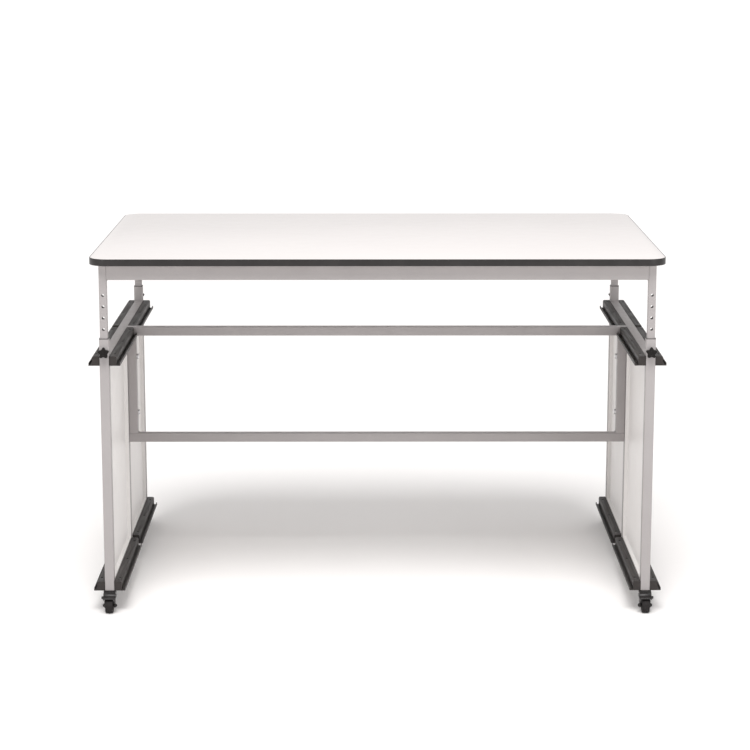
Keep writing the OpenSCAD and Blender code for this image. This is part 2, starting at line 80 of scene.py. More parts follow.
class TableSizes(bpy.types.PropertyGroup):
    """Small sizes of the visible shells; the large ones come from the frame."""

    tube_wall: FloatProperty(
        name="Tube wall", description="Wall thickness of the steel tubes", default=1.5 * MM, unit="LENGTH"
    )
    tube_radius: FloatProperty(
        name="Tube corner", description="Outside radius of the tubes' corners", default=2 * MM, unit="LENGTH"
    )
    band_thickness: FloatProperty(
        name="Edge band", description="Thickness of the black edge band", default=2 * MM, unit="LENGTH"
    )
    band_ease: FloatProperty(
        name="Edge band rounding", description="Radius along the edges of the band", default=0.9 * MM,
        unit="LENGTH",
    )
    corner_radius: FloatProperty(
        name="Worktop corner", description="Radius of the worktop's corners", default=50 * MM, unit="LENGTH"
    )
    weld_size: FloatProperty(
        name="Weld", description="Leg length of the fillet welds", default=2.6 * MM, unit="LENGTH"
    )


class TableFinishes(bpy.types.PropertyGroup):
    """Colours of the finishes."""

    coat: FloatVectorProperty(
        name="Powder coat", description="Light grey of the steel frame", subtype="COLOR",
        default=(0.35, 0.327, 0.325),
    )
    laminate: FloatVectorProperty(
        name="Laminate", description="White of the worktop", subtype="COLOR", default=(0.69, 0.655, 0.643)
    )
    panel: FloatVectorProperty(
        name="Side panel", description="White of the side panels", subtype="COLOR",
        default=(0.78, 0.755, 0.74),
    )
    black: FloatVectorProperty(
        name="Black plastic", description="Colour of runners, knobs and plugs", subtype="COLOR",
        default=(0.030, 0.0255, 0.024),
    )
    edge: FloatVectorProperty(
        name="Edge band", description="Colour of the worktop's edge band", subtype="COLOR",
        default=(0.022, 0.020, 0.0195),
    )
    castor: FloatVectorProperty(
        name="Castor", description="Lacquer of the castor forks and pedals", subtype="COLOR",
        default=(0.012, 0.010, 0.010),
    )
    tyre: FloatVectorProperty(
        name="Tyre", description="Rubber of the castor wheels", subtype="COLOR",
        default=(0.012, 0.010, 0.010),
    )
    floor: FloatVectorProperty(
        name="Floor", description="Colour of the plain floor", subtype="COLOR", default=(0.9, 0.88, 0.87)
    )


def sizes():
    return bpy.context.scene.table_sizes


def finishes():
    return bpy.context.scene.table_finishes


# ---- surfaces as arrays: each shape is (points, faces), with points of shape (n, 3)


def grid_faces(rows, columns, close_rows=False, close_columns=False):
    """Quads over a grid of rows x columns points; a closed direction joins its last line to its first."""
    i = np.arange(rows if close_rows else rows - 1)
    j = np.arange(columns if close_columns else columns - 1)
    i, j = (a.ravel() for a in np.meshgrid(i, j, indexing="ij"))
    i2, j2 = (i + 1) % rows, (j + 1) % columns
    return np.stack([i * columns + j, i2 * columns + j, i2 * columns + j2, i * columns + j2], 1).tolist()


def capped_faces(rows, columns):
    """Faces of a closed skin over rows of rings: quads between the rings and one face over each end."""
    faces = grid_faces(rows, columns, close_columns=True)
    faces.append(list(range(columns))[::-1])
    faces.append(list(range((rows - 1) * columns, rows * columns)))
    return faces


def joined(*shapes):
    """Several shapes as one, with the faces of each counted on from the last."""
    points = np.concatenate([s[0] for s in shapes])
    starts = np.cumsum([0] + [len(s[0]) for s in shapes[:-1]])
    faces = [[k + int(start) for k in f] for s, start in zip(shapes, starts) for f in s[1]]
    return points, faces


def placed(shape, at=(0, 0, 0), turn=None, flip=(1, 1, 1)):
    """The shape turned by a 3 x 3 matrix, moved by at, then mirrored by the signs in flip."""
    points = shape[0] if turn is None else shape[0] @ np.array(turn, float).T
    return (points + np.array(at, float)) * np.array(flip, float), shape[1]


ALONG_X = ((0, 0, 1), (1, 0, 0), (0, 1, 0))  # local z runs along X, local x along Y
ALONG_Y = ((1, 0, 0), (0, 0, -1), (0, 1, 0))  # local z runs along -Y, local y along Z


def rounded(corners, radii, steps=5):
    """Closed outline through corners, each replaced by an arc of its radius.
    With half the inside angle h, the arc's centre lies r / sin(h) from the corner along the bisector."""
    p = np.array(corners, float)
    r = np.broadcast_to(np.array(radii, float), (len(p),))
    a, b = np.roll(p, 1, 0) - p, np.roll(p, -1, 0) - p
    a /= np.linalg.norm(a, axis=1)[:, None]
    b /= np.linalg.norm(b, axis=1)[:, None]
    half = np.arccos(np.clip((a * b).sum(1), -1, 1)) / 2
    middle = (a + b) / np.linalg.norm(a + b, axis=1)[:, None]
    centre = p + middle * (r / np.sin(half))[:, None]
    start = p + a * (r / np.tan(half))[:, None] - centre
    end = p + b * (r / np.tan(half))[:, None] - centre
    a0, a1 = np.arctan2(start[:, 1], start[:, 0]), np.arctan2(end[:, 1], end[:, 0])
    sweep = (a1 - a0 + math.pi) % TAU - math.pi
    angle = a0[:, None] + sweep[:, None] * np.linspace(0, 1, steps + 1)
    arcs = centre[:, None] + r[:, None, None] * np.stack([np.cos(angle), np.sin(angle)], 2)
    return arcs.reshape(-1, 2)


def rectangle(a, b, r, steps=5):
    """Outline of an a x b rectangle about the origin with corners of radius r, anticlockwise."""
    x, y = a / 2, b / 2
    return rounded([(-x, -y), (x, -y), (x, y), (-x, y)], r, steps)


def inward(outline):
    """Unit step inwards at each point of an anticlockwise outline, longer at corners so edges move evenly."""
    before, after = outline - np.roll(outline, 1, 0), np.roll(outline, -1, 0) - outline
    n1 = np.stack([-before[:, 1], before[:, 0]], 1) / np.linalg.norm(before, axis=1)[:, None]
    n2 = np.stack([-after[:, 1], after[:, 0]], 1) / np.linalg.norm(after, axis=1)[:, None]
    n = (n1 + n2) / 2
    return n / np.maximum((n * n).sum(1), 0.3)[:, None]


def prism(outline, z0, z1, ease, steps=3):
    """Solid between z0 and z1 over an outline. Its end edges are quarter rounds:
    at angle t the outline moves in by ease (1 - cos t) and out along z by ease sin t."""
    t = np.linspace(0, math.pi / 2, steps + 1)
    inset = ease * (1 - np.cos(t))
    rise = ease * np.sin(t)
    insets = np.concatenate([inset[::-1], inset])
    heights = np.concatenate([(z0 + ease - rise)[::-1], z1 - ease + rise])
    step = inward(outline)
    xy = outline[None] + insets[:, None, None] * step[None]
    z = np.broadcast_to(heights[:, None, None], xy.shape[:2] + (1,))
    return np.concatenate([xy, z], 2).reshape(-1, 3), capped_faces(len(heights), len(outline))


def shell_ring(outline, wall, z0, z1, ease, steps=3):
    """Hollow section: a rounded wall x height rectangle carried round the outline, its outer side on it."""
    section = rectangle(wall, z1 - z0, ease, steps)
    depth = section[:, 0] + wall / 2
    height = section[:, 1] + (z0 + z1) / 2
    xy = outline[:, None] + depth[None, :, None] * inward(outline)[:, None]
    z = np.broadcast_to(height[None, :, None], xy.shape[:2] + (1,))
    points = np.concatenate([xy, z], 2).reshape(-1, 3)
    return points, grid_faces(len(outline), len(section), True, True)


def lathe(profile, segments=48, closed=False):
    """Surface of revolution about z: a profile point (radius, height) goes once round at that radius."""
    profile = np.array(profile, float)
    angle = np.arange(segments) * TAU / segments
    x = profile[:, :1] * np.cos(angle)
    y = profile[:, :1] * np.sin(angle)
    z = np.broadcast_to(profile[:, 1:], x.shape)
    return np.stack([x, y, z], 2).reshape(-1, 3), grid_faces(len(profile), segments, closed, True)


def tube_between(low, high, wall, radius):
    """A square or rectangular tube that fills a box and runs along the box's longest side."""
    low, high = np.array(low), np.array(high)
    size, middle = high - low, (high + low) / 2
    axis = int(np.argmax(size))
    half = size[axis] / 2
    across = {0: (1, 2), 1: (0, 2), 2: (0, 1)}[axis]
    outline = rectangle(size[across[0]], size[across[1]], radius)
    shape = shell_ring(outline, wall, -half, half, wall * 0.2)
    return placed(placed(shape, turn={0: ALONG_X, 1: ALONG_Y, 2: None}[axis]), middle)


def bead(start, end, side_a, side_b, size, ripple=1.6 * MM):
    """A fillet weld from start to end between two faces that run off along side_a and side_b.
    Its section at angle t is (cos t, sin t) to the power 0.8, and its size swells by 7% every ripple
    and closes like the root of a parabola at both ends."""
    start, end = np.array(start, float), np.array(end, float)
    length = np.linalg.norm(end - start)
    count = max(12, int(length / ripple * 5))
    u = np.linspace(0, 1, count)
    taper = np.clip(1 - (2 * u - 1) ** 10, 0, 1) ** 0.5
    width = size * taper * (1 + 0.07 * np.sin(u * length / ripple * TAU)) + 1e-5
    t = np.linspace(0, math.pi / 2, 7)
    a = np.cos(t) ** 0.8
    b = np.sin(t) ** 0.8
    section = np.outer(a, side_a) + np.outer(b, side_b)
    sunk = -0.4 * MM * (np.array(side_a, float) + np.array(side_b, float))
    line = start + u[:, None] * (end - start)
    outer = line[:, None] + width[:, None, None] * section[None]
    root = (line + sunk)[:, None]
    points = np.concatenate([outer, root], 1)
    return points.reshape(-1, 3), capped_faces(count, points.shape[1])


def tangent_outline(p, rp, q, rq, steps=14):
    """Outline of two rounds of radius rp about p and rq about q with their common outer tangents.
    The tangents touch at the angle acos((rp - rq) / distance) either side of the line from p to q."""
    p, q = np.array(p, float), np.array(q, float)
    d = q - p
    base = math.atan2(d[1], d[0])
    lean = math.acos((rp - rq) / np.linalg.norm(d))
    a = base + np.linspace(-lean, lean, steps)
    b = base + np.linspace(lean, TAU - lean, steps)
    return np.concatenate(
        [q + rq * np.stack([np.cos(a), np.sin(a)], 1), p + rp * np.stack([np.cos(b), np.sin(b)], 1)]
    )


def make_piece(name, shape, body, material, replaced=(), sharp=35):
    """Puts a shape into a mesh at the origin, closes its poles, turns its faces outwards and lets it ride."""
    mesh = bpy.data.meshes.new(name)
    mesh.from_pydata(shape[0].tolist(), [], shape[1])
    work = bmesh.new()
    work.from_mesh(mesh)
    bmesh.ops.remove_doubles(work, verts=work.verts, dist=1e-6)
    bmesh.ops.dissolve_degenerate(work, edges=work.edges, dist=1e-7)
    bmesh.ops.recalc_face_normals(work, faces=work.faces)
    work.to_mesh(mesh)
    work.free()
    mesh.polygons.foreach_set("use_smooth", np.ones(len(mesh.polygons), bool))
    mesh.set_sharp_from_angle(angle=math.radians(sharp))
    piece = bpy.data.objects.new(name, mesh)
    bpy.context.scene.collection.objects.link(piece)
    mesh.materials.append(material)
    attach(piece, body)
    if replaced:
        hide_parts(*replaced)
    return piece


def eased_copy(node, material, width, name=None):
    """A copy of a CAD node with its doubles merged and flat faces joined, and a small bevel on its edges."""
    mesh = NODES[node].data.copy()
    work = bmesh.new()
    work.from_mesh(mesh)
    bmesh.ops.remove_doubles(work, verts=work.verts, dist=1e-6)
    bmesh.ops.dissolve_limit(work, angle_limit=math.radians(0.5), verts=work.verts, edges=work.edges)
    work.to_mesh(mesh)
    work.free()
    mesh.polygons.foreach_set("use_smooth", np.ones(len(mesh.polygons), bool))
    mesh.set_sharp_from_angle(angle=math.radians(35))
    mesh.materials.clear()
    mesh.materials.append(material)
    piece = bpy.data.objects.new(name or node + "_eased", mesh)
    bpy.context.scene.collection.objects.link(piece)
    bevel = piece.modifiers.new("eased_edges", "BEVEL")
    bevel.width = width
    bevel.segments = 2
    bevel.limit_method = "ANGLE"
    bevel.angle_limit = math.radians(40)
    bevel.harden_normals = True
    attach(piece, BODY_OF[node])
    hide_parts(node)
    return piece


def box_of(node):
    low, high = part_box(node)
    return np.array(low), np.array(high)


# ---- finishes


class Finish:
    """A material in the making: a Principled shader fed from patterns on Object coordinates."""

    def __init__(self, name, colour, roughness, metallic=0.0, specular=0.5, coat=0.0):
        self.material = bpy.data.materials.new(name)
        self.material.use_nodes = True
        self.tree = self.material.node_tree
        self.shader = self.tree.nodes["Principled BSDF"]
        self.colour = tuple(colour) + (1,)
        self.shader.inputs["Base Color"].default_value = self.colour
        self.shader.inputs["Roughness"].default_value = roughness
        self.shader.inputs["Metallic"].default_value = metallic
        self.shader.inputs["Specular IOR Level"].default_value = specular
        self.shader.inputs["Coat Weight"].default_value = coat
        self.coords = self.tree.nodes.new("ShaderNodeTexCoord").outputs["Object"]
        self.bump_normal = None

    def link(self, a, b):
        self.tree.links.new(a, b)

    def noise(self, scale, detail=3, stretch=(1, 1, 1), roughness=0.55):
        """Noise in cells of about 1 / scale metres, stretched along the axes."""
        mapping = self.tree.nodes.new("ShaderNodeMapping")
        mapping.inputs["Scale"].default_value = stretch
        texture = self.tree.nodes.new("ShaderNodeTexNoise")
        texture.inputs["Scale"].default_value = scale
        texture.inputs["Detail"].default_value = detail
        texture.inputs["Roughness"].default_value = roughness
        self.link(self.coords, mapping.inputs["Vector"])
        self.link(mapping.outputs["Vector"], texture.inputs["Vector"])
        return texture.outputs["Fac"]

    def cells(self, scale):
        """Distance to the middle of random cells of about 1 / scale metres."""
        texture = self.tree.nodes.new("ShaderNodeTexVoronoi")
        texture.inputs["Scale"].default_value = scale
        self.link(self.coords, texture.inputs["Vector"])
        return texture.outputs["Distance"]

    def ranged(self, value, low, high, start=0.3, end=0.7):
        """Carries value from start..end to low..high."""
        node = self.tree.nodes.new("ShaderNodeMapRange")
        for name, number in (("From Min", start), ("From Max", end), ("To Min", low), ("To Max", high)):
            node.inputs[name].default_value = number
        self.link(value, node.inputs["Value"])
        return node.outputs["Result"]

    def tint(self, value, darker, lighter):
        """Base colour from darker to lighter times the finish's colour, as value goes from 0 to 1."""
        node = self.tree.nodes.new("ShaderNodeMix")
        node.data_type = "RGBA"
        node.inputs["A"].default_value = tuple(c * darker for c in self.colour[:3]) + (1,)
        node.inputs["B"].default_value = tuple(min(1, c * lighter) for c in self.colour[:3]) + (1,)
        self.link(value, node.inputs["Factor"])
        self.link(node.outputs["Result"], self.shader.inputs["Base Color"])

    def roughen(self, value, low, high):
        self.link(self.ranged(value, low, high), self.shader.inputs["Roughness"])

    def emboss(self, value, strength, distance):
        """Adds a bump of that height in metres on top of the bumps before it."""
        node = self.tree.nodes.new("ShaderNodeBump")
        node.inputs["Strength"].default_value = strength
        node.inputs["Distance"].default_value = distance
        self.link(value, node.inputs["Height"])
        if self.bump_normal:
            self.link(self.bump_normal, node.inputs["Normal"])
        self.bump_normal = node.outputs["Normal"]
        self.link(self.bump_normal, self.shader.inputs["Normal"])


def powder_coat():
    """Fine orange peel over the steel, with slight clouds in colour and gloss."""
    f = Finish("powder_coat", finishes().coat, 0.45, specular=0.35)
    f.tint(f.ranged(f.noise(9, 4), 0, 1), 0.965, 1.03)
    f.roughen(f.noise(60, 3), 0.38, 0.52)
    f.emboss(f.noise(850, 2), 0.25, 0.00012)
    f.emboss(f.noise(2600, 2), 0.2, 0.00005)
    return f.material


def white_laminate():
    """Satin laminate: a very fine pearled surface, hardly any colour change."""
    f = Finish("worktop_satin", finishes().laminate, 0.4, specular=0.35)
    f.tint(f.ranged(f.noise(3, 3), 0, 1), 0.99, 1.01)
    f.roughen(f.noise(25, 4), 0.34, 0.44)
    f.emboss(f.cells(1400), 0.12, 0.00004)
    f.emboss(f.noise(180, 3), 0.06, 0.00006)
    return f.material


def side_laminate():
    """White coat of the side panels, a little warmer and duller than the worktop."""
    f = Finish("panel_laminate", finishes().panel, 0.45)
    f.tint(f.ranged(f.noise(4, 3), 0, 1), 0.985, 1.015)
    f.roughen(f.noise(30, 3), 0.4, 0.5)
    f.emboss(f.cells(1100), 0.14, 0.00004)
    return f.material


def board_melamine():
    """Plain white underside of the board, with a faint paper-like grain."""
    f = Finish("board_melamine", (0.78, 0.77, 0.75), 0.55)
    f.tint(f.ranged(f.noise(14, 5, (1, 6, 1)), 0, 1), 0.96, 1.02)
    f.roughen(f.noise(40, 3), 0.5, 0.62)
    f.emboss(f.noise(1500, 2), 0.15, 0.00004)
    return f.material


def moulded_black(name, colour, rough=(0.36, 0.5), grain=1700, depth=0.00007, specular=0.32):
    """Moulded plastic: spark-eroded grain, soft clouds of gloss and a little dust in the colour."""
    f = Finish(name, colour, sum(rough) / 2, specular=specular)
    f.tint(f.ranged(f.noise(22, 4), 0, 1), 0.86, 1.22)
    f.roughen(f.noise(75, 3), *rough)
    f.emboss(f.cells(grain), 0.35, depth)
    f.emboss(f.noise(240, 2), 0.1, 0.0001)
    return f.material


def drawn_black(name, colour):
    """Extruded runner plastic: fine lines along the length, over a satin grain."""
    f = Finish(name, colour, 0.5, specular=0.25)
    f.tint(f.ranged(f.noise(30, 4, (1, 0.15, 1)), 0, 1), 0.88, 1.18)
    f.roughen(f.noise(90, 3, (1, 0.1, 1)), 0.42, 0.58)
    f.emboss(f.noise(1500, 2, (1, 0.02, 1)), 0.2, 0.00005)
    f.emboss(f.cells(1800), 0.2, 0.00005)
    return f.material


def lacquered_steel():
    """Black lacquer over pressed steel, slightly wavy and glossy."""
    f = Finish("castor_lacquer", finishes().castor, 0.3, specular=0.35)
    f.tint(f.ranged(f.noise(70, 4), 0, 1), 0.85, 1.25)
    f.roughen(f.noise(160, 3), 0.24, 0.4)
    f.emboss(f.noise(700, 2), 0.2, 0.00008)
    return f.material


def tyre_rubber():
    """Matt rubber with a fine pitted skin and dust in its pits."""
    f = Finish("tyre_rubber", finishes().tyre, 0.65, specular=0.25)
    f.tint(f.ranged(f.noise(120, 5), 0, 1), 0.8, 1.5)
    f.roughen(f.noise(200, 3), 0.55, 0.75)
    f.emboss(f.cells(1500), 0.4, 0.0001)
    return f.material


def zinc_plate():
    """Bright zinc on turned steel: faint rings of gloss."""
    f = Finish("zinc_plate", (0.62, 0.62, 0.63), 0.32, metallic=1.0)
    f.tint(f.ranged(f.noise(300, 3), 0, 1), 0.85, 1.1)
    f.roughen(f.noise(500, 3), 0.25, 0.42)
    f.emboss(f.noise(2500, 2), 0.15, 0.00004)
    return f.material


def floor_paint():
    """Even, pale floor with hardly visible clouds."""
    f = Finish("floor_paint", finishes().floor, 0.9, specular=0.1)
    f.tint(f.ranged(f.noise(0.7, 2), 0, 1), 0.995, 1.005)
    return f.material


MAKERS = {
    "powder_coat": powder_coat,
    "worktop_satin": white_laminate,
    "panel_laminate": side_laminate,
    "board_melamine": board_melamine,
    "castor_lacquer": lacquered_steel,
    "tyre_rubber": tyre_rubber,
    "zinc_plate": zinc_plate,
    "floor_paint": floor_paint,
    "black_nylon": lambda: moulded_black("black_nylon", finishes().black),
    "knob_nylon": lambda: moulded_black("knob_nylon", shade(0.33), (0.34, 0.48), specular=0.16),
    "edge_plastic": lambda: moulded_black("edge_plastic", finishes().edge, (0.3, 0.42), 2200, 0.00004),
    "runner_extrusion": lambda: drawn_black("runner_extrusion", finishes().black),
    # the screws are black, and beyond that they are made nearly pure black with hardly any sheen: painted shade
    # that stands in for the shade in the countersunk recesses round their heads
    "black_screw": lambda: moulded_black("black_screw", shade(0.08), (0.5, 0.6), 3000, 0.00003, 0.04),
}


def shade(part):
    """The black of the moulded pieces, scaled towards a deeper black."""
    return [part * c for c in finishes().black]


def finish(name):
    """The named material, made the first time it is asked for."""
    return bpy.data.materials.get(name) or MAKERS[name]()


# ---- pieces


class TABLE_OT_worktop(bpy.types.Operator):
    """Laminate sheet, board and rounded edge band of the worktop"""

    bl_idname = "table.worktop"
    bl_label = "Worktop"

    def execute(self, context):
        s = sizes()
        inner = s.corner_radius - s.band_thickness
        for node, name, material, ease in (
            ("laminate_top", "worktop_laminate", "worktop_satin", 0.15 * MM),
            ("tabletop", "worktop_board", "board_melamine", 0.2 * MM),
        ):
            low, high = box_of(node)
            outline = rectangle(*(high - low)[:2], inner, 16)
            shape = prism(outline, low[2], high[2], ease, 2)
            make_piece(name, shape, BODY_OF[node], finish(material), [node])
        low, high = box_of("edge_band")
        outline = rectangle(*(high - low)[:2], s.corner_radius, 24)
        shape = shell_ring(outline, s.band_thickness, low[2], high[2], s.band_ease, 4)
        material = finish("edge_plastic")
        make_piece("worktop_edge_band", shape, BODY_OF["edge_band"], material, ["edge_band"])
        return {"FINISHED"}


class TABLE_OT_tubes(bpy.types.Operator):
    """Square tubes of legs, beams, posts, crossbars and apron, with softened cut ends"""

    bl_idname = "table.tubes"
    bl_label = "Tubes"

    def execute(self, context):
        s = sizes()
        names = ["apron_front", "apron_rear", "apron_left", "apron_right", "crossbar_upper", "crossbar_lower"]
        sided = ("upper_beam", "lower_beam", "mid_post", "crossbar_post")
        names += [f"{part}_{side}" for part in sided for side in SIDES]
        for node in names:
            shape = tube_between(*box_of(node), s.tube_wall, s.tube_radius)
            make_piece(f"{node}_tube", shape, BODY_OF[node], finish("powder_coat"), [node])
        for corner, (_, sy) in CORNERS.items():
            self.outer_leg(corner, sy)
            eased_copy(f"inner_leg_{corner}", finish("powder_coat"), 0.25 * MM)
        return {"FINISHED"}

    def outer_leg(self, corner, sy):
        """The leg's tube without the boss, and the boss as a turned ring with a weld round its foot."""
        s = sizes()
        node = f"outer_leg_{corner}"
        low, high = box_of(node)
        tube = high[0] - low[0]
        boss_height = (high[1] - low[1]) - tube
        if sy < 0:
            low[1] += boss_height
        else:
            high[1] -= boss_height
        face = low[1] if sy < 0 else high[1]
        pivot = JOINTS[f"knob_turn_{corner}"]["pos_m"]
        # radius and height in millimetres: bore, rim, flank, weld and a foot sunk into the tube
        boss = [(3.1, 0), (3.1, 5), (6.6, 5), (7, 4.6), (7, 1.6), (7.6, 0.6), (9, 0), (9, -0.5), (3.1, -0.5)]
        ring = lathe(np.array(boss) * MM, 48, True)
        ring = placed(ring, turn=((1, 0, 0), (0, 0, sy), (0, 1, 0)))
        ring = placed(ring, (pivot[0], face, pivot[2]))
        shape = joined(tube_between(low, high, s.tube_wall, s.tube_radius), ring)
        make_piece(f"{node}_tube", shape, "base", finish("powder_coat"), [node])


class TABLE_OT_welds(bpy.types.Operator):
    """Fillet welds where tubes meet, under the same powder coat"""

    bl_idname = "table.welds"
    bl_label = "Welds"

    def execute(self, context):
        size = sizes().weld_size
        short = 2 * MM  # a bead stops this far from the tube's corner
        up, down = (0, 0, 1), (0, 0, -1)
        for side, sx in SIDES.items():
            beads = []
            for beam, faces in (("upper_beam", (up, down)), ("lower_beam", (up,))):
                low, high = box_of(f"{beam}_{side}")
                for y, inwards in ((low[1], 1), (high[1], -1)):
                    for face in faces:
                        z = high[2] if face is up else low[2]
                        ends = [(x, y, z) for x in (low[0] + short, high[0] - short)]
                        beads.append(bead(*ends, (0, inwards, 0), face, size))
            low, high = box_of(f"mid_post_{side}")
            for z, face in ((low[2], up), (high[2], down)):
                for y, outwards in ((low[1], -1), (high[1], 1)):
                    ends = [(x, y, z) for x in (low[0] + short, high[0] - short)]
                    beads.append(bead(*ends, (0, outwards, 0), face, size))
            low, high = box_of(f"crossbar_post_{side}")
            inner = low[0] if sx > 0 else high[0]
            for z, face in ((low[2], up), (high[2], down)):
                ends = [(inner, y, z) for y in (low[1] + short, high[1] - short)]
                beads.append(bead(*ends, (-sx, 0, 0), face, size))
            low, high = box_of("crossbar_upper")
            x = high[0] if sx > 0 else low[0]
            for y, outwards in ((low[1], -1), (high[1], 1)):
                ends = [(x, y, z) for z in (low[2] + short, high[2] - short)]
                beads.append(bead(*ends, (-sx, 0, 0), (0, outwards, 0), size * 0.7))
            make_piece(f"frame_welds_{side}", joined(*beads), "base", finish("powder_coat"))
        beads = []
        for corner, (sx, sy) in CORNERS.items():
            low, high = box_of(f"inner_leg_{corner}")
            apron = box_of("apron_front")[0][2]
            x = high[0] if sx < 0 else low[0]
            y = high[1] if sy < 0 else low[1]
            ends = [(x, b, apron) for b in (low[1] + short, high[1] - short)]
            beads.append(bead(*ends, (-sx, 0, 0), down, size))
            ends = [(a, y, apron) for a in (low[0] + short, high[0] - short)]
            beads.append(bead(*ends, (0, -sy, 0), down, size))
        coat = finish("powder_coat")
        make_piece("apron_welds", joined(*beads), BODY_OF["apron_front"], coat)
        return {"FINISHED"}


class TABLE_OT_panels(bpy.types.Operator):
    """White side panels with folded edges, one in each bay of the side frames"""

    bl_idname = "table.panels"
    bl_label = "Side panels"

    def execute(self, context):
        for side, sx in SIDES.items():
            node = f"side_panels_{side}"
            low, high = box_of(node)
            post = box_of(f"mid_post_{side}")
            room = low[2] - post[0][2]
            bays = ((low[1], post[0][1] - room), (post[1][1] + room, high[1]))
            back = low[0] if sx < 0 else high[0]
            fold = high[0] - low[0]
            shapes = []
            for y0, y1 in bays:
                pan = self.pan(y1 - y0, high[2] - low[2], fold)
                pan = placed(pan, turn=((0, 0, -sx), (1, 0, 0), (0, 1, 0)))
                shapes.append(placed(pan, (back, (y0 + y1) / 2, (low[2] + high[2]) / 2)))
            sheet = joined(*shapes)
            make_piece(f"{node}_sheet", sheet, "base", finish("panel_laminate"), [node])
        return {"FINISHED"}

    def pan(self, width, height, fold):
        """A sheet of thickness t with its edges folded, swept as rings of one rectangle. The rings lie
        `inset` inside the outer size at height z, and the profile (inset, z) goes round the outer bend of
        radius q, over the fold's rounded edge and round the inner bend of radius r, for a from 0 to 90
        degrees: (q (1 - sin a), q (1 - cos a)), (t/2 (1 - cos 2a), fold - t/2 (1 - sin 2a)) and
        (t + r (1 - cos a), t + r (1 - sin a))."""
        t = 2 * MM
        q = 3.2 * MM
        r = 1.6 * MM
        a = np.linspace(0, math.pi / 2, 7)
        outer = np.stack([q * (1 - np.sin(a)), q * (1 - np.cos(a))], 1)
        edge = np.stack([t / 2 * (1 - np.cos(2 * a)), fold - t / 2 + t / 2 * np.sin(2 * a)], 1)
        inner = np.stack([t + r * (1 - np.cos(a)), t + r * (1 - np.sin(a))], 1)
        profile = np.concatenate([outer, edge, inner])
        corner, least = 4 * MM, 0.3 * MM
        rings = []
        for inset, z in profile:
            ring = rectangle(width - 2 * inset, height - 2 * inset, max(corner - inset, least), 4)
            rings.append(np.column_stack([ring, np.full(len(ring), z)]))
        return np.concatenate(rings), capped_faces(len(rings), len(rings[0]))


class TABLE_OT_runners(bpy.types.Operator):
    """Black tray runners and their countersunk screws"""

    bl_idname = "table.runners"
    bl_label = "Tray runners"

    def execute(self, context):
        for level in ("upper", "lower"):
            for side in SIDES:
                eased_copy(f"{level}_runners_{side}", finish("runner_extrusion"), 0.35 * MM)
        # the screw heads carry painted shade: their near-black, sheenless finish stands in for the shade in the
        # countersunk recesses
        eased_copy("runner_screws", finish("black_screw"), 0.12 * MM)
        return {"FINISHED"}


class TABLE_OT_fixings(bpy.types.Operator):
    """Brackets, welded plates, bolts, rivets, screws and plastic plugs with eased edges"""

    bl_idname = "table.fixings"
    bl_label = "Fixings"

    def execute(self, context):
        for node, material, width in (
            ("top_brackets", "powder_coat", 0.3 * MM),
            ("welded_tabs", "powder_coat", 0.25 * MM),
            ("top_screws", "zinc_plate", 0.2 * MM),
            ("panel_rivets", "panel_laminate", 0.3 * MM),
            ("frame_bolts", "zinc_plate", 0.4 * MM),
            ("leg_guides", "black_nylon", 0.2 * MM),
            ("leg_glides", "black_nylon", 0.2 * MM),
            ("castor_sockets", "black_nylon", 0.25 * MM),
        ):
            eased_copy(node, finish(material), width)
        return {"FINISHED"}


